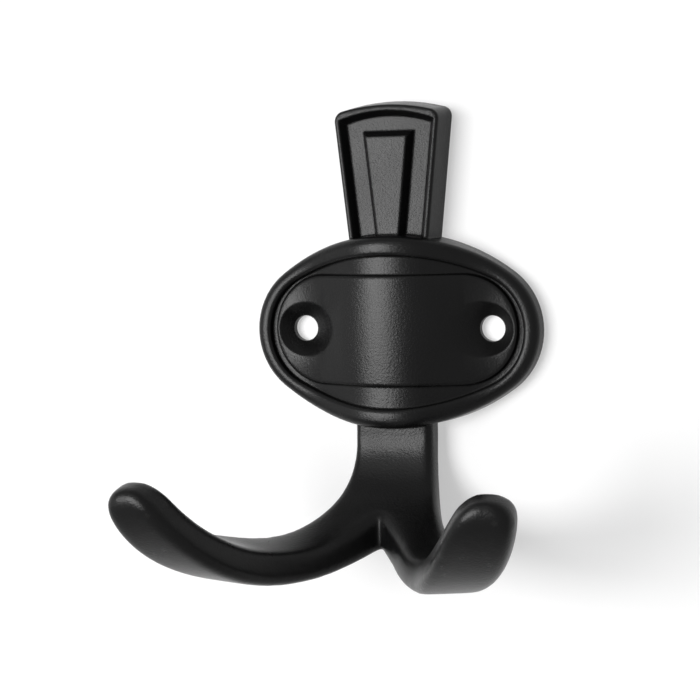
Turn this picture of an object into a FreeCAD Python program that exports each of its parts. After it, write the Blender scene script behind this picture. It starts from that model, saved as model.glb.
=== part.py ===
import FreeCAD, Part
import math
import os

import Sketcher

# Double robe hook, one casting, in millimetres.
# X runs to the right, Y into the wall, Z up.
# The wall is the plane y = 0 and the origin lies midway between the two screw holes.

Vector = FreeCAD.Vector
Constraint = Sketcher.Constraint
document = FreeCAD.newDocument("RobeHook")

SIZES = [
    ("plate_length", 48.3, "oval plate at the wall, along X"),
    ("plate_height", 31.7, "oval plate at the wall, along Z"),
    ("plate_end_radius", 11.7, "radius of the oval's round ends"),
    ("plate_draft_angle", 3.0, "taper of the oval plate's wall, degrees"),
    ("fan_draft_angle", 7.5, "taper of the tail plate's wall, degrees"),
    ("ridge_height", 8.45, "raised panel above the wall at the middle"),
    ("ridge_radius", 16.4, "rounding of the ridge"),
    ("flank_angle", 23.5, "fall of the flanks, degrees"),
    ("valley_radius", 20.0, "hollow rounding at the foot of a flank"),
    ("end_angle", 4.0, "fall of the flat ends, degrees"),
    ("end_height", 3.15, "raised panel above the wall at its ends"),
    ("plate_drop", 0.25, "middle of the oval outline below the screw holes"),
    ("rim_lift", 0.4, "rim above the panel's surface"),
    ("floor_drop", 0.85, "recess floor below the panel's surface"),
    ("rim_width_ends", 2.65, "oval recess inside the plate's outline, at its ends"),
    ("rim_width_sides", 3.6, "oval recess inside the plate's outline, above and below"),
    ("rim_turn", 2.2, "round ends of the recess below those of the plate"),
    ("panel_end_gap", 0.9, "raised panel inside the recess, at its ends"),
    ("panel_height", 17.9, "raised panel along Z"),
    ("panel_rounding", 0.55, "rounding of the panel's edge"),
    ("rim_outer_rounding", 1.5, "rounding of the rim's outer edge"),
    ("rim_inner_rounding", 0.7, "rounding of the rim's inner edge"),
    ("hole_spacing", 32.0, "between the screw holes"),
    ("hole_diameter", 4.2, "clearance for the screws"),
    ("hole_land", 1.3, "straight part of a screw hole"),
    ("countersink_angle", 90.0, "full angle of the countersink, degrees"),
    ("fan_top", 36.75, "top of the tail plate above the holes"),
    ("fan_top_width", 19.2, "tail plate at the wall, at its shoulders"),
    ("fan_flare", 6.1, "lean of the tail plate's sides, degrees"),
    ("fan_crown", 1.45, "rise of the arched top edge"),
    ("fan_thickness", 5.4, "tail plate above the wall"),
    ("fan_corner_radius", 1.7, "rounding of the tail plate's corners"),
    ("fan_rim_width", 0.85, "flat rim round the tail plate's recess"),
    ("fan_recess_depth", 1.65, "recess in the tail plate"),
    ("fan_wall_angle", 28.0, "slope of the recess and boss walls, degrees"),
    ("fan_edge_rounding", 0.45, "rounding of the rim's outer edge"),
    ("boss_top", 31.9, "foot of the boss's top wall above the holes"),
    ("boss_top_width", 8.7, "foot of the boss at its top"),
    ("stem_width", 13.0, "stem below the oval plate"),
    ("stem_thickness", 4.9, "stem from the wall to its front face"),
    ("bend_start", 17.1, "start of the bend below the holes"),
    ("bend_radius_top", 12.5, "front face, first bend"),
    ("bend_angle_top", 52.0, "first bend, degrees"),
    ("bend_radius_low", 24.5, "front face, long bend of the arm"),
    ("bend_angle_low", 48.5, "long bend, degrees"),
    ("bend_radius_tip", 17.5, "front face, bend up to the tip"),
    ("bend_angle_tip", 64.0, "bend up to the tip, degrees"),
    ("tip_outer_reach", 30.9, "outer side of a tip from the middle plane"),
    ("tip_inner_reach", 23.6, "inner side of a tip from the middle plane"),
    ("fork_share", 0.30, "share of the bend at which the arms part"),
    ("fork_bulge", 1.7, "inner sides of the arms wider apart below the fork"),
    ("fork_lean", 2.0, "lean of the inner sides towards each other at the back"),
    ("arm_swell", 0.9, "arm thicker halfway along than at its ends"),
    ("tip_thickness", 5.4, "arm at its tip"),
    ("tip_turn", 9.0, "turn of a tip outwards, degrees"),
    ("tip_length", 3.6, "length of the rounded tip"),
    ("arm_tilt", 2.0, "lift of an arm's outer edge before the tip"),
    ("tip_shift", 0.8, "crest of the round tip towards the middle plane"),
    ("hollow_edge_radius", 1.2, "rounding of the edges on the hollow side"),
    ("back_edge_radius", 1.4, "rounding of the edges on the round side"),
]

# Sizes that follow from others

FITTED_SIZES = [
    ("recess_length", "=plate_length - 2 * rim_width_ends", "oval recess along X"),
    ("recess_height", "=plate_height - 2 * rim_width_sides", "oval recess along Z"),
    ("recess_end_radius", "=plate_end_radius - rim_turn", "radius of the recess's round ends"),
    ("panel_length", "=recess_length - 2 * panel_end_gap", "raised panel along X"),
]

sheet = document.addObject("Spreadsheet::Sheet", "Sizes")
for row, (alias, value, note) in enumerate(SIZES + FITTED_SIZES, start=1):
    sheet.set("A%d" % row, alias)
    sheet.set("B%d" % row, str(value))
    sheet.set("C%d" % row, note)
    sheet.setAlias("B%d" % row, alias)
document.recompute()


def size(alias):
    return float(sheet.get(alias))


# Working values that are not sizes of the casting

MARGIN = 4.0
BLOCK_SPARE = 1.0
RECESS_SPARE = 3.0
HALF_SPACE = 100.0
NEAR = 1e-3
EDGE_SAMPLES = (0.02, 0.5, 0.98)
TAIL_ROOT = 5.0

# Shape of the arms, as shares of their length

TILT_START = 0.4
TILT_SPAN = 0.6
SWING_DELAY = 1.07
SWELL_SHIFT = 0.7
BULGE_SCALE = 256 / 27
TIP_FLATNESS = 0.4
TIP_POWER = 2.3
ROUNDING_LIMIT = 0.96
ARM_STEPS = 14
TIP_ANGLES = (20, 40, 58, 72, 82)


def origin_plane(body, role):
    return next(feature for feature in body.Origin.OriginFeatures if feature.Role == role)


def new_sketch(body, name, role):
    sketch = body.newObject("Sketcher::SketchObject", name)
    sketch.AttachmentSupport = [(origin_plane(body, role), "")]
    sketch.MapMode = "FlatFace"
    return sketch


def bind(sketch, constraint, expression):
    # Adds a dimension and ties it to a formula over the sheet's sizes.
    number = sketch.addConstraint(constraint)
    sketch.setExpression("Constraints[%d]" % number, expression)
    return number


# Oval outlines

def oval_sketch(body, name, length, height, end_radius):
    # Four tangent arcs, with the radius of the long sides worked out from the other sizes.
    half_length = size(length) / 2
    half_height = size(height) / 2
    end = size(end_radius)
    side = ((half_length - end) ** 2 + half_height ** 2 - end ** 2) / (2 * (half_height - end))
    joint = math.atan2(side - half_height, half_length - end)
    arcs = [
        (Vector(half_length - end, 0), end, -joint, joint),
        (Vector(0, half_height - side), side, joint, math.pi - joint),
        (Vector(end - half_length, 0), end, math.pi - joint, math.pi + joint),
        (Vector(0, side - half_height), side, math.pi + joint, 2 * math.pi - joint),
    ]
    sketch = new_sketch(body, name, "XZ_Plane")
    sketch.setExpression("AttachmentOffset.Base.y", "-Sizes.plate_drop")
    for centre, radius, start, stop in arcs:
        sketch.addGeometry(Part.ArcOfCircle(Part.Circle(centre, Vector(0, 0, 1), radius), start, stop))
    for number in range(4):
        sketch.addConstraint(Constraint("Tangent", number, 2, (number + 1) % 4, 1))
    sketch.addConstraint(Constraint("PointOnObject", 0, 3, -1))
    sketch.addConstraint(Constraint("PointOnObject", 1, 3, -2))
    sketch.addConstraint(Constraint("PointOnObject", 2, 3, -1))
    sketch.addConstraint(Constraint("Equal", 0, 2))
    sketch.addConstraint(Constraint("Equal", 1, 3))
    reach = "(Sizes.%s / 2 - Sizes.%s)" % (length, end_radius)
    rise = "(Sizes.%s / 2)" % height
    radius = "Sizes.%s" % end_radius
    bind(sketch, Constraint("DistanceX", -1, 1, 0, 3, half_length - end), reach)
    bind(sketch, Constraint("Radius", 0, end), radius)
    side_formula = "(%s ^ 2 + %s ^ 2 - %s ^ 2) / (2 * (%s - %s))" % (reach, rise, radius, rise, radius)
    bind(sketch, Constraint("Radius", 1, side), side_formula)
    return sketch


def stadium_sketch(body, name, length, height):
    # Straight top and bottom with half circle ends.
    half_length = size(length) / 2
    radius = size(height) / 2
    run = half_length - radius
    sketch = new_sketch(body, name, "XZ_Plane")
    up = Vector(0, 0, 1)
    quarter = math.pi / 2
    sketch.addGeometry(Part.ArcOfCircle(Part.Circle(Vector(run, 0), up, radius), -quarter, quarter))
    sketch.addGeometry(Part.LineSegment(Vector(run, radius), Vector(-run, radius)))
    sketch.addGeometry(Part.ArcOfCircle(Part.Circle(Vector(-run, 0), up, radius), quarter, 3 * quarter))
    sketch.addGeometry(Part.LineSegment(Vector(-run, -radius), Vector(run, -radius)))
    for first, end, second, start in ((0, 2, 1, 1), (1, 2, 2, 1), (2, 2, 3, 1), (3, 2, 0, 1)):
        sketch.addConstraint(Constraint("Tangent", first, end, second, start))
    sketch.addConstraint(Constraint("Symmetric", 0, 3, 2, 3, -1, 1))
    sketch.addConstraint(Constraint("Horizontal", 1))
    bind(sketch, Constraint("Radius", 0, radius), "Sizes.%s / 2" % height)
    bind(sketch, Constraint("DistanceX", -1, 1, 0, 3, run), "(Sizes.%s - Sizes.%s) / 2" % (length, height))
    return sketch


# Bell shaped front profile

def profile_sketch(body, name, lift_formula, lift, forward):
    # Flat ends, hollow feet, straight flanks and a rounded ridge, closed in front or behind.
    ridge_top = size("ridge_height") + lift
    ridge = size("ridge_radius")
    valley = size("valley_radius")
    flank = math.radians(size("flank_angle"))
    fall = math.radians(size("end_angle"))
    reach = size("plate_length") / 2 + MARGIN
    far = -(ridge_top + MARGIN) if forward else MARGIN
    panel_end = size("panel_length") / 2
    # The flank's length makes the ridge, the hollow foot and the flat end meet.
    ridge_run = ridge * math.sin(flank)
    ridge_drop = ridge * (1 - math.cos(flank))
    valley_run = valley * (math.sin(flank) - math.sin(fall))
    valley_drop = valley * (math.cos(fall) - math.cos(flank))
    drop = size("ridge_height") - size("end_height") - ridge_drop - valley_drop
    flat_run = panel_end - ridge_run - valley_run
    flank_run = (drop - flat_run * math.tan(fall)) / (math.tan(flank) - math.tan(fall))
    flank_end = Vector(ridge_run + flank_run, ridge_drop + flank_run * math.tan(flank) - ridge_top)
    flat_start = Vector(flank_end.x + valley_run, flank_end.y + valley_drop)
    flat_end = Vector(reach, flat_start.y + (reach - flat_start.x) * math.tan(fall))
    ridge_end = Vector(ridge_run, ridge_drop - ridge_top)
    hollow = Vector(flat_start.x + valley * math.sin(fall), flat_start.y - valley * math.cos(fall))
    corner = Vector(reach, far)

    def left(point):
        return Vector(-point.x, point.y)

    up = Vector(0, 0, 1)
    quarter = math.pi / 2
    ridge_circle = Part.Circle(Vector(0, ridge - ridge_top), up, ridge)
    sketch = new_sketch(body, name, "XY_Plane")
    outline = [
        Part.LineSegment(left(flat_end), left(flat_start)),
        Part.ArcOfCircle(Part.Circle(left(hollow), up, valley), quarter - flank, quarter - fall),
        Part.LineSegment(left(flank_end), left(ridge_end)),
        Part.ArcOfCircle(ridge_circle, -quarter - flank, flank - quarter),
        Part.LineSegment(ridge_end, flank_end),
        Part.ArcOfCircle(Part.Circle(hollow, up, valley), quarter + fall, quarter + flank),
        Part.LineSegment(flat_start, flat_end),
        Part.LineSegment(flat_end, corner),
        Part.LineSegment(corner, left(corner)),
        Part.LineSegment(left(corner), left(flat_end)),
    ]
    for element in outline:
        sketch.addGeometry(element)
    smooth_joints = [(0, 2, 1, 2), (1, 1, 2, 1), (2, 2, 3, 1), (3, 2, 4, 1), (4, 2, 5, 2), (5, 1, 6, 1)]
    for first, end, second, start in smooth_joints:
        sketch.addConstraint(Constraint("Tangent", first, end, second, start))
    for first, second in ((6, 7), (7, 8), (8, 9), (9, 0)):
        sketch.addConstraint(Constraint("Coincident", first, 2, second, 1))
    sketch.addConstraint(Constraint("Vertical", 7))
    sketch.addConstraint(Constraint("Symmetric", 0, 1, 6, 2, -2))
    sketch.addConstraint(Constraint("Symmetric", 8, 1, 8, 2, -2))
    sketch.addConstraint(Constraint("PointOnObject", 3, 3, -2))
    sketch.addConstraint(Constraint("Equal", 1, 5))
    sketch.addConstraint(Constraint("Equal", 2, 4))
    bind(sketch, Constraint("Radius", 3, ridge), "Sizes.ridge_radius")
    bind(sketch, Constraint("Radius", 5, valley), "Sizes.valley_radius")
    ridge_formula = "Sizes.ridge_radius - Sizes.ridge_height - %s" % lift_formula
    bind(sketch, Constraint("DistanceY", -1, 1, 3, 3, ridge - ridge_top), ridge_formula)
    bind(sketch, Constraint("Angle", 4, flank), "Sizes.flank_angle * 1 deg")
    bind(sketch, Constraint("Angle", 6, fall), "Sizes.end_angle * 1 deg")
    reach_formula = "(Sizes.plate_length / 2 + %g)" % MARGIN
    bind(sketch, Constraint("DistanceX", -1, 1, 6, 2, reach), reach_formula)
    fall_formula = "(%s - Sizes.panel_length / 2) * tan(Sizes.end_angle * 1 deg)" % reach_formula
    end_formula = "Sizes.end_height + %s - %s" % (lift_formula, fall_formula)
    bind(sketch, Constraint("DistanceY", 6, 2, -1, 1, -flat_end.y), end_formula)
    if forward:
        far_formula = "Sizes.ridge_height + %s + %g" % (lift_formula, MARGIN)
        bind(sketch, Constraint("DistanceY", 7, 2, -1, 1, -far), far_formula)
    else:
        bind(sketch, Constraint("DistanceY", -1, 1, 7, 2, far), "%g" % MARGIN)
    return sketch


# Features

def pad(body, name, sketch, length, taper=None):
    feature = body.newObject("PartDesign::Pad", name)
    feature.Profile = sketch
    feature.setExpression("Length", length)
    if taper:
        feature.setExpression("TaperAngle", taper)
    document.recompute()
    return feature


def pocket(body, name, sketch, length, both_ways=False, taper=None):
    # The volume must fall, because a pocket that points away from the solid cuts nothing.
    before = body.Shape.Volume
    feature = body.newObject("PartDesign::Pocket", name)
    feature.Profile = sketch
    if both_ways:
        feature.SideType = "Symmetric"
    feature.setExpression("Length", length)
    if taper:
        feature.setExpression("TaperAngle", taper)
    document.recompute()
    if not body.Shape.Volume < before:
        raise RuntimeError("%s cuts nothing" % name)
    return feature


def edges_where(shape, test):
    # Names of the edges whose start, middle and end all pass a test.
    names = []
    for number, edge in enumerate(shape.Edges, start=1):
        first, last = edge.ParameterRange
        points = [edge.valueAt(first + (last - first) * share) for share in EDGE_SAMPLES]
        if all(test(point) for point in points):
            names.append("Edge%d" % number)
    return names


def round_edges(body, name, edges, radius):
    before = body.Tip
    feature = body.newObject("PartDesign::Fillet", name)
    feature.Base = (before, edges)
    feature.setExpression("Radius", radius)
    document.recompute()
    return feature


# Oval plate with its rounded rim

FRONT_CUT = "Sizes.plate_height * 2"
BLOCK_HEIGHT = "Sizes.ridge_height + Sizes.rim_lift + %g" % BLOCK_SPARE
RECESS_HEIGHT = "Sizes.ridge_height + Sizes.rim_lift + %g" % RECESS_SPARE

plate = document.addObject("PartDesign::Body", "OvalPlate")
plate_outline = oval_sketch(plate, "PlateOutline", "plate_length", "plate_height", "plate_end_radius")
pad(plate, "PlateBlock", plate_outline, BLOCK_HEIGHT, "-Sizes.plate_draft_angle * 1 deg")
rim_profile = profile_sketch(plate, "RimProfile", "Sizes.rim_lift", size("rim_lift"), True)
pocket(plate, "RimSurface", rim_profile, FRONT_CUT, both_ways=True)


def front_height(x, lift):
    # Height of the bell profile above the wall.
    ridge = size("ridge_radius")
    valley = size("valley_radius")
    flank = math.radians(size("flank_angle"))
    fall = math.radians(size("end_angle"))
    panel_end = size("panel_length") / 2
    reach = abs(x)
    ridge_run = ridge * math.sin(flank)
    if reach <= ridge_run:
        return size("ridge_height") + lift - ridge + math.sqrt(ridge ** 2 - reach ** 2)
    flat = size("end_height") + lift + (panel_end - reach) * math.tan(fall)
    flank_line = size("ridge_height") + lift - ridge + ridge / math.cos(flank) - reach * math.tan(flank)
    # The hollow foot stands above both straight lines near the place where they meet.
    meet = (flank_line - flat) / (math.tan(flank) - math.tan(fall)) + reach
    span = valley * math.tan((flank - fall) / 2)
    start = meet - span * math.cos(flank)
    stop = meet + span * math.cos(fall)
    if reach <= start:
        return flank_line
    if reach >= stop:
        return flat
    centre_x = stop + valley * math.sin(fall)
    stop_height = size("end_height") + lift + (panel_end - stop) * math.tan(fall)
    centre_height = stop_height + valley * math.cos(fall)
    return centre_height - math.sqrt(valley ** 2 - (reach - centre_x) ** 2)


def on_front(lift):
    def test(point):
        return abs(-point.y - front_height(point.x, lift)) < NEAR
    return test


def outline_edges(shape, lift):
    # Edges of the front surface, without the straight seams between stretches of the profile.
    names = edges_where(shape, on_front(lift))
    seams = [name for name in names if abs(shape.getElement(name).tangentAt(0).z) > 1 - NEAR]
    return [name for name in names if name not in seams or shape.getElement(name).BoundBox.XLength > NEAR]


rim_edges = outline_edges(plate.Shape, size("rim_lift"))
round_edges(plate, "RimRounding", rim_edges, "Sizes.rim_outer_rounding")

# Oval recess inside the rim

recess = document.addObject("PartDesign::Body", "RecessCutter")
recess_outline = oval_sketch(recess, "RecessOutline", "recess_length", "recess_height", "recess_end_radius")
pad(recess, "RecessBlock", recess_outline, RECESS_HEIGHT)
floor_profile = profile_sketch(recess, "FloorProfile", "(-Sizes.floor_drop)", -size("floor_drop"), False)
pocket(recess, "FloorSurface", floor_profile, FRONT_CUT, both_ways=True)

# Raised panel inside the recess

panel = document.addObject("PartDesign::Body", "RaisedPanel")
panel_outline = stadium_sketch(panel, "PanelOutline", "panel_length", "panel_height")
pad(panel, "PanelBlock", panel_outline, BLOCK_HEIGHT)
panel_profile = profile_sketch(panel, "PanelProfile", "0", 0.0, True)
pocket(panel, "PanelSurface", panel_profile, FRONT_CUT, both_ways=True)
panel_edges = outline_edges(panel.Shape, 0.0)
round_edges(panel, "PanelRounding", panel_edges, "Sizes.panel_rounding")

# Countersunk screw holes, turned about their own axis

screw = document.addObject("PartDesign::Body", "ScrewHoleCutter")
screw_sketch = new_sketch(screw, "ScrewHoleProfile", "XY_Plane")
hole_radius = size("hole_diameter") / 2
flare = math.radians(size("countersink_angle")) / 2
mouth = size("ridge_height")
mouth_radius = hole_radius + (mouth - size("hole_land")) * math.tan(flare)
hole_corners = [
    Vector(0, MARGIN),
    Vector(hole_radius, MARGIN),
    Vector(hole_radius, -size("hole_land")),
    Vector(mouth_radius, -mouth),
    Vector(0, -mouth),
]
for number, corner in enumerate(hole_corners):
    screw_sketch.addGeometry(Part.LineSegment(corner, hole_corners[(number + 1) % len(hole_corners)]))
for number in range(len(hole_corners)):
    screw_sketch.addConstraint(Constraint("Coincident", number, 2, (number + 1) % len(hole_corners), 1))
screw_sketch.addConstraint(Constraint("Horizontal", 0))
screw_sketch.addConstraint(Constraint("Vertical", 1))
screw_sketch.addConstraint(Constraint("Horizontal", 3))
screw_sketch.addConstraint(Constraint("PointOnObject", 4, 1, -2))
screw_sketch.addConstraint(Constraint("PointOnObject", 4, 2, -2))
bind(screw_sketch, Constraint("DistanceY", -1, 1, 0, 1, MARGIN), "%g" % MARGIN)
bind(screw_sketch, Constraint("DistanceX", 0, 1, 0, 2, hole_radius), "Sizes.hole_diameter / 2")
bind(screw_sketch, Constraint("DistanceY", 1, 2, -1, 1, size("hole_land")), "Sizes.hole_land")
bind(screw_sketch, Constraint("DistanceY", 3, 1, -1, 1, mouth), "Sizes.ridge_height")
mouth_formula = "(Sizes.ridge_height - Sizes.hole_land) * tan(Sizes.countersink_angle / 2 * 1 deg)"
mouth_formula = "Sizes.hole_diameter / 2 + " + mouth_formula
bind(screw_sketch, Constraint("DistanceX", 4, 1, 3, 1, mouth_radius), mouth_formula)
screw_turn = screw.newObject("PartDesign::Revolution", "ScrewHoleTurn")
screw_turn.Profile = screw_sketch
screw_turn.ReferenceAxis = (screw_sketch, ["V_Axis"])
screw_turn.Angle = 360
screw.setExpression("Placement.Base.x", "Sizes.hole_spacing / 2")
document.recompute()

screw_left = document.addObject("Part::Mirroring", "ScrewHoleCutterLeft")
screw_left.Source = screw
screw_left.Normal = Vector(1, 0, 0)

# Tail plate with its recess and raised boss


def tail_sketch(body, name, level, top_formula, width_formula, crown_formula, values):
    # A flared outline with an arched or straight top, given at a level above the wall.
    top, half_top, crown = values
    root = size("plate_height") / 2 - TAIL_ROOT
    half_root = half_top - (top - crown - root) * math.tan(math.radians(size("fan_flare")))
    shoulder = top - crown
    sketch = new_sketch(body, name, "XZ_Plane")
    sketch.setExpression("AttachmentOffset.Base.z", level)
    corners = [
        Vector(-half_root, root),
        Vector(half_root, root),
        Vector(half_top, shoulder),
        Vector(-half_top, shoulder),
    ]
    sketch.addGeometry(Part.LineSegment(corners[0], corners[1]))
    sketch.addGeometry(Part.LineSegment(corners[1], corners[2]))
    if crown:
        arch_radius = (half_top ** 2 + crown ** 2) / (2 * crown)
        spread = math.asin(half_top / arch_radius)
        circle = Part.Circle(Vector(0, top - arch_radius), Vector(0, 0, 1), arch_radius)
        sketch.addGeometry(Part.ArcOfCircle(circle, math.pi / 2 - spread, math.pi / 2 + spread))
    else:
        sketch.addGeometry(Part.LineSegment(corners[2], corners[3]))
    sketch.addGeometry(Part.LineSegment(corners[3], corners[0]))
    for number in range(4):
        sketch.addConstraint(Constraint("Coincident", number, 2, (number + 1) % 4, 1))
    sketch.addConstraint(Constraint("Symmetric", 0, 1, 0, 2, -2))
    sketch.addConstraint(Constraint("Symmetric", 2, 1, 2, 2, -2))
    root_formula = "(Sizes.plate_height / 2 - %g)" % TAIL_ROOT
    shoulder_formula = "(%s - %s)" % (top_formula, crown_formula)
    bind(sketch, Constraint("DistanceY", -1, 1, 0, 1, root), root_formula)
    bind(sketch, Constraint("DistanceY", -1, 1, 2, 1, shoulder), shoulder_formula)
    bind(sketch, Constraint("DistanceX", -1, 1, 2, 1, half_top), width_formula)
    lean = "(%s - %s) * tan(Sizes.fan_flare * 1 deg)" % (shoulder_formula, root_formula)
    bind(sketch, Constraint("DistanceX", -1, 1, 0, 2, half_root), "%s - %s" % (width_formula, lean))
    if crown:
        arch = "((%s) ^ 2 + %s ^ 2) / (2 * %s)" % (width_formula, crown_formula, crown_formula)
        bind(sketch, Constraint("Radius", 2, arch_radius), arch)
    return sketch


tail = document.addObject("PartDesign::Body", "TailPlate")
draft_inset = "Sizes.fan_thickness * tan(Sizes.fan_draft_angle * 1 deg)"
front_inset = size("fan_thickness") * math.tan(math.radians(size("fan_draft_angle")))
tail_values = (size("fan_top"), size("fan_top_width") / 2, size("fan_crown"))
tail_outline = tail_sketch(
    tail, "TailOutline", "0", "Sizes.fan_top", "Sizes.fan_top_width / 2", "Sizes.fan_crown", tail_values)
pad(tail, "TailBlock", tail_outline, "Sizes.fan_thickness", "-Sizes.fan_draft_angle * 1 deg")


def upright_edges(shape, low, floor_level):
    # Edges that rise from the wall side to the front, above a height and in front of a level.
    names = []
    for number, edge in enumerate(shape.Edges, start=1):
        box = edge.BoundBox
        rises = box.YLength > size("fan_recess_depth") / 2 and box.YLength > box.ZLength
        if rises and box.ZMin > low and box.YMin < -floor_level:
            names.append("Edge%d" % number)
    return names


plate_top = size("plate_height") / 2
round_edges(tail, "TailCorners", upright_edges(tail.Shape, plate_top, 0), "Sizes.fan_corner_radius")


def on_tail_front(point):
    return abs(point.y + size("fan_thickness")) < NEAR and point.z > plate_top - TAIL_ROOT + NEAR


round_edges(tail, "TailEdge", edges_where(tail.Shape, on_tail_front), "Sizes.fan_edge_rounding")

rim_inset = front_inset + size("fan_rim_width")
rim_formula = "(%s + Sizes.fan_rim_width)" % draft_inset
tail_recess = tail_sketch(
    tail, "TailRecessOutline", "Sizes.fan_thickness", "(Sizes.fan_top - %s)" % rim_formula,
    "(Sizes.fan_top_width / 2 - %s)" % rim_formula, "Sizes.fan_crown",
    (size("fan_top") - rim_inset, size("fan_top_width") / 2 - rim_inset, size("fan_crown")))
pocket(tail, "TailRecess", tail_recess, "Sizes.fan_recess_depth", taper="-Sizes.fan_wall_angle * 1 deg")

boss_outline = tail_sketch(
    tail, "BossOutline", "Sizes.fan_thickness - Sizes.fan_recess_depth", "Sizes.boss_top",
    "Sizes.boss_top_width / 2", "0", (size("boss_top"), size("boss_top_width") / 2, 0))
pad(tail, "Boss", boss_outline, "Sizes.fan_recess_depth", "-Sizes.fan_wall_angle * 1 deg")

# Stem and arms
# The front face of an arm follows three tangent arcs seen from the side.

BEND_NAMES = ("top", "low", "tip")


def arm_path(share):
    # Place and heading of the front face at a share of the bend's length.
    arcs = [(size("bend_radius_" + name), math.radians(size("bend_angle_" + name))) for name in BEND_NAMES]
    length = sum(radius * angle for radius, angle in arcs)
    left_over = share * length
    y = -size("stem_thickness")
    z = -size("bend_start")
    heading = 0.0
    for radius, angle in arcs:
        turn = min(left_over / radius, angle)
        y -= radius * (math.cos(heading) - math.cos(heading + turn))
        z -= radius * (math.sin(heading + turn) - math.sin(heading))
        heading += turn
        left_over -= turn * radius
        if left_over <= NEAR:
            break
    return y, z, heading, length


def arm_width(share):
    # The outer side swings out in one smooth step, the inner side leaves at a steady rate.
    stem_half = size("stem_width") / 2
    swing = (1 - math.cos(math.pi * share ** SWING_DELAY)) / 2
    outer = stem_half + (size("tip_outer_reach") - stem_half) * swing
    fork = size("fork_share")
    parted = (share - fork) / (1 - fork)
    inner = size("tip_inner_reach") * parted
    if parted > 0:
        inner += size("fork_bulge") * BULGE_SCALE * parted * (1 - parted) ** 3
    return outer, max(inner, -stem_half / 2)


def arm_section(share):
    # A rounded rectangle across the arm, tilted, turned and shrunk to a round tip.
    y, z, heading, length = arm_path(share)
    outer, inner = arm_width(share)
    turn = math.radians(size("tip_turn")) * max(0.0, 2 * share - 1)
    lean = size("fork_lean") * (1 - share)
    half_width = (outer - inner) / 2 / math.cos(turn)
    thickness = size("stem_thickness") + (size("tip_thickness") - size("stem_thickness")) * share
    thickness += size("arm_swell") * (1 - math.cos(2 * math.pi * share ** SWELL_SHIFT)) / 2
    along = min(max((share - TILT_START) / TILT_SPAN, 0.0), 1.0)
    tilt = size("arm_tilt") * math.sin(math.pi * along) ** 2
    to_go = (1 - share) * length / size("tip_length")
    shrink = (1 - (1 - to_go) ** TIP_POWER) ** (1 / TIP_POWER) if to_go < 1 else 1.0
    middle = (outer + inner) / 2 - size("tip_shift") * (1 - shrink)
    width = half_width * shrink
    depth = thickness * (TIP_FLATNESS + (1 - TIP_FLATNESS) * shrink)
    inset = (thickness - depth) / 2

    def place(across, into):
        offset = tilt * (1 + across / half_width) / 2 - into - inset
        off_y = -math.cos(heading) * offset
        off_z = math.sin(heading) * offset
        x = middle + across * math.cos(turn) - math.sin(turn) * off_y
        return Vector(x, y + across * math.sin(turn) + math.cos(turn) * off_y, z + off_z)

    limit = ROUNDING_LIMIT * min(width, depth / 2)
    hollow = min(size("hollow_edge_radius") * math.sqrt(shrink), limit)
    back = min(size("back_edge_radius") * math.sqrt(shrink), limit)
    quarter = math.pi / 2
    corners = [
        (width, depth, back, 0.0),
        (-width - lean, depth, back, quarter),
        (-width, 0, hollow, 2 * quarter),
        (width, 0, hollow, 3 * quarter),
    ]
    arcs = []
    for across, into, radius, start in corners:
        centre_across = across - math.copysign(radius, across)
        centre_into = into - radius if into else radius
        points = []
        for spin in (start, start + quarter / 2, start + quarter):
            point_across = centre_across + radius * math.cos(spin)
            points.append(place(point_across, centre_into + radius * math.sin(spin)))
        arcs.append(Part.Arc(*points))
    edges = []
    for number, arc in enumerate(arcs):
        edges.append(arc.toShape())
        following = arcs[(number + 1) % len(arcs)]
        edges.append(Part.makeLine(arc.EndPoint, following.StartPoint))
    return Part.Wire(edges)


def stem_section(height):
    # The stem's section moved straight up from the start of the bend.
    wire = arm_section(0.0)
    wire.translate(Vector(0, 0, height + size("bend_start")))
    return wire


root_height = TAIL_ROOT - size("plate_height") / 2
tip_share = size("tip_length") / arm_path(1.0)[3]
shares = [(1 - tip_share) * number / ARM_STEPS for number in range(1, ARM_STEPS + 1)]
shares += [1 - tip_share * (1 - math.sin(math.radians(angle))) for angle in TIP_ANGLES]
half_way = (root_height - size("bend_start")) / 2
sections = [stem_section(root_height), stem_section(half_way), arm_section(0.0)]
sections += [arm_section(share) for share in shares]
arm_solid = Part.makeLoft(sections, True, False)
right_corner = Vector(0, -HALF_SPACE, -HALF_SPACE)
right_side = Part.makeBox(HALF_SPACE, 2 * HALF_SPACE, 2 * HALF_SPACE, right_corner)
right_arm = document.addObject("Part::Feature", "RightArm")
right_arm.Shape = arm_solid.common(right_side)

left_arm = document.addObject("Part::Mirroring", "LeftArm")
left_arm.Source = right_arm
left_arm.Normal = Vector(1, 0, 0)
document.recompute()

# The casting

recessed = document.addObject("Part::Cut", "RecessedPlate")
recessed.Base = plate
recessed.Tool = recess
document.recompute()


def on_recess_outline(point):
    # True on the wall of the oval recess, measured from its end arc or its side arc.
    half_length = size("recess_length") / 2
    half_height = size("recess_height") / 2
    end = size("recess_end_radius")
    side = ((half_length - end) ** 2 + half_height ** 2 - end ** 2) / (2 * (half_height - end))
    joint = math.atan2(side - half_height, half_length - end)
    x = abs(point.x)
    z = abs(point.z + size("plate_drop"))
    from_side = z + side - half_height
    if math.atan2(from_side, x) >= joint:
        return abs(math.hypot(x, from_side) - side) < NEAR
    return abs(math.hypot(x - half_length + end, z) - end) < NEAR


inner_edges = edges_where(recessed.Shape, on_front(size("rim_lift")))
inner_edges = [name for name in inner_edges if name in edges_where(recessed.Shape, on_recess_outline)]
rim = document.addObject("Part::Fillet", "RoundedRim")
rim.Base = recessed
inner_radius = size("rim_inner_rounding")
rim.Edges = [(int(name[4:]), inner_radius, inner_radius) for name in inner_edges]

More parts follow.
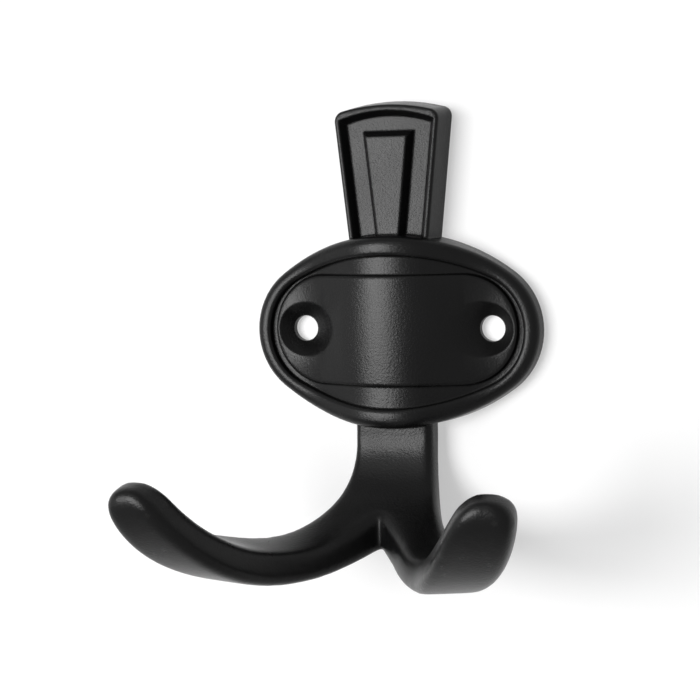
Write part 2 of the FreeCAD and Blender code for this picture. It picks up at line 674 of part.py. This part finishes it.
joined = document.addObject("Part::MultiFuse", "JoinedCasting")
joined.Shapes = [rim, panel, tail, right_arm, left_arm]
holes = document.addObject("Part::MultiFuse", "ScrewHoles")
holes.Shapes = [screw, screw_left]
hook = document.addObject("Part::Cut", "RobeHook")
hook.Base = joined
hook.Tool = holes
hook.Label = "robe_hook"
document.recompute()

for feature in document.Objects:
    if "Invalid" in feature.State or "Error" in feature.State:
        raise RuntimeError("%s did not build" % feature.Name)
if hook.Shape.isNull() or not hook.Shape.isValid() or len(hook.Shape.Solids) != 1:
    raise RuntimeError("robe_hook is not one valid solid")

os.makedirs("parts", exist_ok=True)
hook.Shape.Solids[0].exportStep("parts/%s.step" % hook.Label)
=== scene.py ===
import math

import bmesh
import bpy
from mathutils import Matrix, Vector
from mathutils.bvhtree import BVHTree


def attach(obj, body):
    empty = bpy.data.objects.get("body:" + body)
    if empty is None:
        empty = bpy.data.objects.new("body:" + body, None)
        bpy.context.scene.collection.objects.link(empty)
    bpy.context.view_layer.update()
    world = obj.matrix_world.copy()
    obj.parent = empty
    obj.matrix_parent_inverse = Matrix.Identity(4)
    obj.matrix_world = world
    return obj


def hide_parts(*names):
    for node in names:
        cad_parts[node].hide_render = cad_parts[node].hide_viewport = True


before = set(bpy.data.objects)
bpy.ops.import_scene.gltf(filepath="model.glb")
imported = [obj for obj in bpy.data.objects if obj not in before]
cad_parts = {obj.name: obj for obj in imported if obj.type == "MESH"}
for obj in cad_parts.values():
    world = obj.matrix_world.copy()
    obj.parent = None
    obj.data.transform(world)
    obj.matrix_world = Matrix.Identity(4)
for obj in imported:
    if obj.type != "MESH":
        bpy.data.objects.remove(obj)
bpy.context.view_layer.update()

# Lengths are in metres. Angles are in degrees, unless their line turns them to radians.


def add_object(name, data):
    item = bpy.data.objects.new(name, data)
    bpy.context.scene.collection.objects.link(item)
    return item


def finished_mesh(mesh, name):
    data = bpy.data.meshes.new(name)
    mesh.to_mesh(data)
    mesh.free()
    return data


def outward(azimuth, elevation):
    # Direction away from the hook: 0, 0 is straight in front, and azimuth turns to the right.
    turn = math.radians(azimuth)
    lift = math.radians(elevation)
    return Vector((
        math.sin(turn) * math.cos(lift),
        -math.cos(turn) * math.cos(lift),
        math.sin(lift),
    ))


# Camera: the photograph's place, lean and lens

PICTURE = 700
FOCAL_PIXELS = 1924.822
SENSOR = 36.0
AZIMUTH = 20.0
ELEVATION = 4.662
ROLL = math.radians(1.3)
DISTANCE = 0.318
TARGET = Vector((-0.008839, 0.0, -0.003722))
NEAREST = 0.01
FARTHEST = 10.0


def add_camera():
    data = bpy.data.cameras.new("camera")
    data.sensor_width = SENSOR
    data.lens = FOCAL_PIXELS / PICTURE * SENSOR
    data.clip_start = NEAREST
    data.clip_end = FARTHEST
    camera = add_object("camera", data)
    turn = math.radians(AZIMUTH)
    back = outward(AZIMUTH, ELEVATION)
    right = Vector((math.cos(turn), math.sin(turn), 0.0))
    up = back.cross(right)
    leaning_right = right * math.cos(ROLL) - up * math.sin(ROLL)
    leaning_up = right * math.sin(ROLL) + up * math.cos(ROLL)
    stand = Matrix((leaning_right, leaning_up, back)).transposed()
    camera.matrix_world = Matrix.Translation(TARGET + back * DISTANCE) @ stand.to_4x4()
    bpy.context.scene.camera = camera


# Material tools


def new_material(name):
    material = bpy.data.materials.new(name)
    material.use_nodes = True
    return material, material.node_tree.nodes, material.node_tree.links


def add_noise(nodes, links, place, scale, detail):
    noise = nodes.new("ShaderNodeTexNoise")
    noise.inputs["Scale"].default_value = scale
    noise.inputs["Detail"].default_value = detail
    links.new(place.outputs["Object"], noise.inputs["Vector"])
    return noise


def add_bump(nodes, links, height, normal, strength, distance):
    bump = nodes.new("ShaderNodeBump")
    bump.inputs["Strength"].default_value = strength
    bump.inputs["Distance"].default_value = distance
    links.new(height, bump.inputs["Height"])
    links.new(normal, bump.inputs["Normal"])
    return bump.outputs["Normal"]


def add_math(nodes, links, operation, first, second):
    node = nodes.new("ShaderNodeMath")
    node.operation = operation
    links.new(first, node.inputs[0])
    links.new(second, node.inputs[1])
    return node.outputs["Value"]


def seen_share(nodes, links):
    # 1 for what is seen directly, mirrored or through glass, and 0 for what only gives light.
    path = nodes.new("ShaderNodeLightPath")
    glossy = path.outputs["Is Glossy Ray"]
    through = path.outputs["Is Transmission Ray"]
    mirrored = add_math(nodes, links, "MAXIMUM", glossy, through)
    return add_math(nodes, links, "MAXIMUM", path.outputs["Is Camera Ray"], mirrored)


# Near black satin powder coat: a fine grain, soft waves, and edges that rub paler and smoother

GRAIN_SCALE = 3000.0
GRAIN_DETAIL = 3.0
GRAIN_ROUGHNESS = 0.6
GRAIN_STRENGTH = 0.6
GRAIN_HEIGHT = 0.00007
WAVE_SCALE = 420.0
WAVE_DETAIL = 2.0
WAVE_STRENGTH = 0.2
WAVE_HEIGHT = 0.00008
CLOUD_SCALE = 90.0
CLOUD_DETAIL = 4.0
CLOUD_LOW = 0.3
CLOUD_HIGH = 0.7
ROUGHNESS_LOW = 0.27
ROUGHNESS_HIGH = 0.33
EDGE_SAMPLES = 8
EDGE_ROUNDING = 0.0005
WEAR_START = 0.52
WEAR_FULL = 0.60
WEAR_ROUGHNESS = -0.08
COAT_COLOUR = (0.003, 0.003, 0.0031, 1.0)
WORN_COLOUR = (0.012, 0.012, 0.0115, 1.0)
COAT_IOR = 1.5
COAT_SPECULAR = 0.17


def satin_black():
    material, nodes, links = new_material("satin_black_coat")
    shader = nodes["Principled BSDF"]
    place = nodes.new("ShaderNodeTexCoord")
    grain = add_noise(nodes, links, place, GRAIN_SCALE, GRAIN_DETAIL)
    grain.inputs["Roughness"].default_value = GRAIN_ROUGHNESS
    waves = add_noise(nodes, links, place, WAVE_SCALE, WAVE_DETAIL)
    cloud = add_noise(nodes, links, place, CLOUD_SCALE, CLOUD_DETAIL)

    rounded = nodes.new("ShaderNodeBevel")
    rounded.samples = EDGE_SAMPLES
    rounded.inputs["Radius"].default_value = EDGE_ROUNDING
    grained = add_bump(
        nodes, links, grain.outputs["Fac"], rounded.outputs["Normal"], GRAIN_STRENGTH, GRAIN_HEIGHT)
    waved = add_bump(nodes, links, waves.outputs["Fac"], grained, WAVE_STRENGTH, WAVE_HEIGHT)
    links.new(waved, shader.inputs["Normal"])

    shape = nodes.new("ShaderNodeNewGeometry")
    edge = nodes.new("ShaderNodeMapRange")
    edge.inputs["From Min"].default_value = WEAR_START
    edge.inputs["From Max"].default_value = WEAR_FULL
    links.new(shape.outputs["Pointiness"], edge.inputs["Value"])
    wear = add_math(nodes, links, "MULTIPLY", edge.outputs["Result"], cloud.outputs["Fac"])
    colour = nodes.new("ShaderNodeMix")
    colour.data_type = "RGBA"
    colour.inputs["A"].default_value = COAT_COLOUR
    colour.inputs["B"].default_value = WORN_COLOUR
    links.new(wear, colour.inputs["Factor"])
    links.new(colour.outputs["Result"], shader.inputs["Base Color"])

    sheen = nodes.new("ShaderNodeMapRange")
    sheen.inputs["From Min"].default_value = CLOUD_LOW
    sheen.inputs["From Max"].default_value = CLOUD_HIGH
    sheen.inputs["To Min"].default_value = ROUGHNESS_LOW
    sheen.inputs["To Max"].default_value = ROUGHNESS_HIGH
    links.new(cloud.outputs["Fac"], sheen.inputs["Value"])
    polish = nodes.new("ShaderNodeMath")
    polish.operation = "MULTIPLY_ADD"
    polish.inputs[1].default_value = WEAR_ROUGHNESS
    links.new(wear, polish.inputs[0])
    links.new(sheen.outputs["Result"], polish.inputs[2])
    links.new(polish.outputs["Value"], shader.inputs["Roughness"])

    shader.inputs["IOR"].default_value = COAT_IOR
    shader.inputs["Specular IOR Level"].default_value = COAT_SPECULAR
    return material


# White wall: it keeps the hook's shadow, half as dark where it is seen, and is clear from behind

WALL_COLOUR = (0.95, 0.95, 0.95, 1.0)
WALL_ROUGHNESS = 0.9
SHADOW_LIFT = 0.5


def wall_paint():
    material, nodes, links = new_material("pale_wall")
    shader = nodes["Principled BSDF"]
    shader.inputs["Base Color"].default_value = WALL_COLOUR
    shader.inputs["Roughness"].default_value = WALL_ROUGHNESS
    white = nodes.new("ShaderNodeEmission")
    white.inputs["Strength"].default_value = 1.0
    share = nodes.new("ShaderNodeMath")
    share.operation = "MULTIPLY"
    share.inputs[1].default_value = SHADOW_LIFT
    links.new(seen_share(nodes, links), share.inputs[0])
    lifted = nodes.new("ShaderNodeMixShader")
    links.new(share.outputs["Value"], lifted.inputs["Fac"])
    links.new(shader.outputs["BSDF"], lifted.inputs[1])
    links.new(white.outputs["Emission"], lifted.inputs[2])
    side = nodes.new("ShaderNodeNewGeometry")
    clear = nodes.new("ShaderNodeBsdfTransparent")
    mix = nodes.new("ShaderNodeMixShader")
    links.new(side.outputs["Backfacing"], mix.inputs["Fac"])
    links.new(lifted.outputs["Shader"], mix.inputs[1])
    links.new(clear.outputs["BSDF"], mix.inputs[2])
    links.new(mix.outputs["Shader"], nodes["Material Output"].inputs["Surface"])
    return material


# Wall and floor, joined by a cove

WALL_GAP = 0.0002
WALL_HALF = 1.2
FLOOR = -1.1
FLOOR_REACH = 0.3
COVE = 0.15
COVE_STEPS = 12


def add_stage():
    mesh = bmesh.new()
    profile = [mesh.verts.new((-WALL_HALF, WALL_GAP, WALL_HALF))]
    for step in range(COVE_STEPS + 1):
        turn = math.pi / 2 * step / COVE_STEPS
        y = WALL_GAP - COVE * (1 - math.cos(turn))
        z = FLOOR + COVE * (1 - math.sin(turn))
        profile.append(mesh.verts.new((-WALL_HALF, y, z)))
    profile.append(mesh.verts.new((-WALL_HALF, -FLOOR_REACH, FLOOR)))
    edges = [mesh.edges.new(pair) for pair in zip(profile, profile[1:])]
    swept = bmesh.ops.extrude_edge_only(mesh, edges=edges)["geom"]
    moved = [item for item in swept if isinstance(item, bmesh.types.BMVert)]
    bmesh.ops.translate(mesh, verts=moved, vec=(2 * WALL_HALF, 0, 0))
    for face in mesh.faces:
        face.smooth = True
    mesh.normal_update()
    # The faces come in any order, so all of them together say which way the wall faces.
    if sum(face.normal.y * face.calc_area() for face in mesh.faces) > 0:
        bmesh.ops.reverse_faces(mesh, faces=mesh.faces)
    data = finished_mesh(mesh, "wall_and_floor")
    data.materials.append(wall_paint())
    add_object("wall_and_floor", data)


# Lamps, and a dim room that is seen and mirrored as a pale backdrop

LAMP_DISTANCE = 1.2
ROOM_LIGHT = 0.03
BACKDROP = 0.7


def add_lamp(name, azimuth, elevation, width, height, power):
    data = bpy.data.lights.new(name, "AREA")
    data.shape = "RECTANGLE"
    data.size = width
    data.size_y = height
    data.energy = power
    lamp = add_object(name, data)
    away = outward(azimuth, elevation)
    lamp.location = away * LAMP_DISTANCE
    lamp.rotation_mode = "QUATERNION"
    lamp.rotation_quaternion = away.to_track_quat("Z", "Y")


def add_world():
    world = bpy.data.worlds.new("studio")
    bpy.context.scene.world = world
    world.use_nodes = True
    nodes = world.node_tree.nodes
    links = world.node_tree.links
    room = nodes["Background"]
    backdrop = nodes.new("ShaderNodeBackground")
    for light, strength in ((room, ROOM_LIGHT), (backdrop, BACKDROP)):
        light.inputs["Color"].default_value = (1.0, 1.0, 1.0, 1.0)
        light.inputs["Strength"].default_value = strength
    mix = nodes.new("ShaderNodeMixShader")
    links.new(seen_share(nodes, links), mix.inputs["Fac"])
    links.new(room.outputs["Background"], mix.inputs[1])
    links.new(backdrop.outputs["Background"], mix.inputs[2])
    links.new(mix.outputs["Shader"], nodes["World Output"].inputs["Surface"])


# Casting: the plates keep the solid's own faces, and the arms below the cut get an even mesh

MERGE = 0.000002
SHARP_ANGLE = math.radians(32)
CUT = -0.0169
VOXEL = 0.00032
SETTLE_TOP = -0.0155
SETTLE_FOOT = -0.0190

# Smoothing of the arms: each pass starts a little lower

SMOOTH_PASSES = 32
SMOOTH_SHARE = 0.5
SMOOTH_TOP = -0.0174
SMOOTH_FADE = 0.0002

# Reshaping of the arms: a heading turns round the middle of their bend, from the wall
# at 0 to straight below at 90. Each change has its greatest move and its headings.

BEND_MIDDLE_Y = -0.0255
BEND_MIDDLE_Z = -0.0120
MIDDLE_HEADING = 86.0
MIDDLE_START = 0.0131
MIDDLE_RATE = 0.00022
ARM_HALF = 0.005
OUTER_DROP = 0.0013
OUTER_DROP_SPAN = (70, 175)
OUTER_LIFT = 0.0006
OUTER_LIFT_SPAN = (50, 125)
INNER_DROP = 0.0012
INNER_DROP_SPAN = (45, 125)
INNER_BULGE = 0.0010
INNER_BULGE_SPAN = (55, 105)


def merged_solid():
    mesh = bmesh.new()
    mesh.from_mesh(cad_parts["robe_hook"].data)
    bmesh.ops.remove_doubles(mesh, verts=mesh.verts, dist=MERGE)
    return finished_mesh(mesh, "merged_solid")


def even_mesh(data):
    # The same solid with an even grid of small faces.
    rough = add_object("rough_copy", data)
    remesh = rough.modifiers.new("even_faces", "REMESH")
    remesh.mode = "VOXEL"
    remesh.voxel_size = VOXEL
    bpy.context.view_layer.update()
    ready = rough.evaluated_get(bpy.context.evaluated_depsgraph_get())
    even = bpy.data.meshes.new_from_object(ready)
    bpy.data.objects.remove(rough)
    return even


def settle(mesh, data):
    # Puts the points near the cut back on the solid's own surface.
    solid = bmesh.new()
    solid.from_mesh(data)
    surface = BVHTree.FromBMesh(solid)
    for vert in mesh.verts:
        if SETTLE_FOOT < vert.co.z < SETTLE_TOP:
            vert.co = surface.find_nearest(vert.co)[0]
    solid.free()


def cut_away(mesh, keep_above):
    # Cuts the mesh at the cut's height and keeps one side of it.
    geometry = mesh.verts[:] + mesh.edges[:] + mesh.faces[:]
    bmesh.ops.bisect_plane(
        mesh, geom=geometry, plane_co=(0, 0, CUT), plane_no=(0, 0, 1),
        clear_inner=keep_above, clear_outer=not keep_above)


def hill(value, span):
    # Smooth rise and fall between two limits, with its top of 1 halfway.
    low, high = span
    share = min(max((value - low) / (high - low), 0.0), 1.0)
    return math.sin(math.pi * share) ** 2


def shape_arms(mesh):
    # Fuller outer edges below, and lower, rounder inner edges beside the fork.
    mesh.normal_update()
    moves = []
    for vert in mesh.verts:
        if vert.co.z > SMOOTH_TOP:
            continue
        side = math.copysign(1.0, vert.co.x)
        y = vert.co.y - BEND_MIDDLE_Y
        z = vert.co.z - BEND_MIDDLE_Z
        away = Vector((0.0, y, z)).normalized()
        heading = math.degrees(math.atan2(-z, y)) % 360
        middle = MIDDLE_START + MIDDLE_RATE * (heading - MIDDLE_HEADING)
        across = min(max((abs(vert.co.x) - middle) / ARM_HALF, -1.0), 1.0)
        outer = (1 + across) / 2
        inner = (1 - across) / 2
        below = max(vert.normal.dot(away), 0.0)
        above = max(-vert.normal.dot(away), 0.0)
        inward = max(-vert.normal.x * side, 0.0)
        move = away * OUTER_DROP * hill(heading, OUTER_DROP_SPAN) * outer * below
        move -= away * OUTER_LIFT * hill(heading, OUTER_LIFT_SPAN) * outer * above
        move += away * INNER_DROP * hill(heading, INNER_DROP_SPAN) * inner ** 2 * above
        move.x -= side * INNER_BULGE * hill(heading, INNER_BULGE_SPAN) * inward
        moves.append((vert, move))
    for vert, move in moves:
        vert.co += move


def soft_arms(solid):
    arms = bmesh.new()
    arms.from_mesh(even_mesh(solid))
    settle(arms, solid)
    shape_arms(arms)
    for number in range(SMOOTH_PASSES):
        limit = SMOOTH_TOP - SMOOTH_FADE * number
        eased = [vert for vert in arms.verts if vert.co.z < limit]
        bmesh.ops.smooth_vert(
            arms, verts=eased, factor=SMOOTH_SHARE,
            use_axis_x=True, use_axis_y=True, use_axis_z=True)
    cut_away(arms, False)
    return finished_mesh(arms, "soft_arms")


def soft_casting():
    solid = merged_solid()
    arms = soft_arms(solid)
    casting = bmesh.new()
    casting.from_mesh(solid)
    cut_away(casting, True)
    casting.normal_update()
    for edge in casting.edges:
        edge.smooth = not edge.is_manifold or edge.calc_face_angle() < SHARP_ANGLE
    casting.from_mesh(arms)
    for face in casting.faces:
        face.smooth = True
        face.material_index = 0
    data = finished_mesh(casting, "soft_robe_hook")
    data.materials.append(satin_black())
    piece = add_object("soft_robe_hook", data)
    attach(piece, "root")
    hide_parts("robe_hook")


add_camera()
add_stage()
add_world()
add_lamp("key_softbox", azimuth=-27, elevation=1, width=0.7, height=0.5, power=18)
add_lamp("left_fill", azimuth=-72, elevation=0, width=0.8, height=0.6, power=1.0)
add_lamp("upper_fill", azimuth=-20, elevation=34, width=0.9, height=0.5, power=1.6)
soft_casting()
bpy.context.scene.view_settings.view_transform = "Standard"
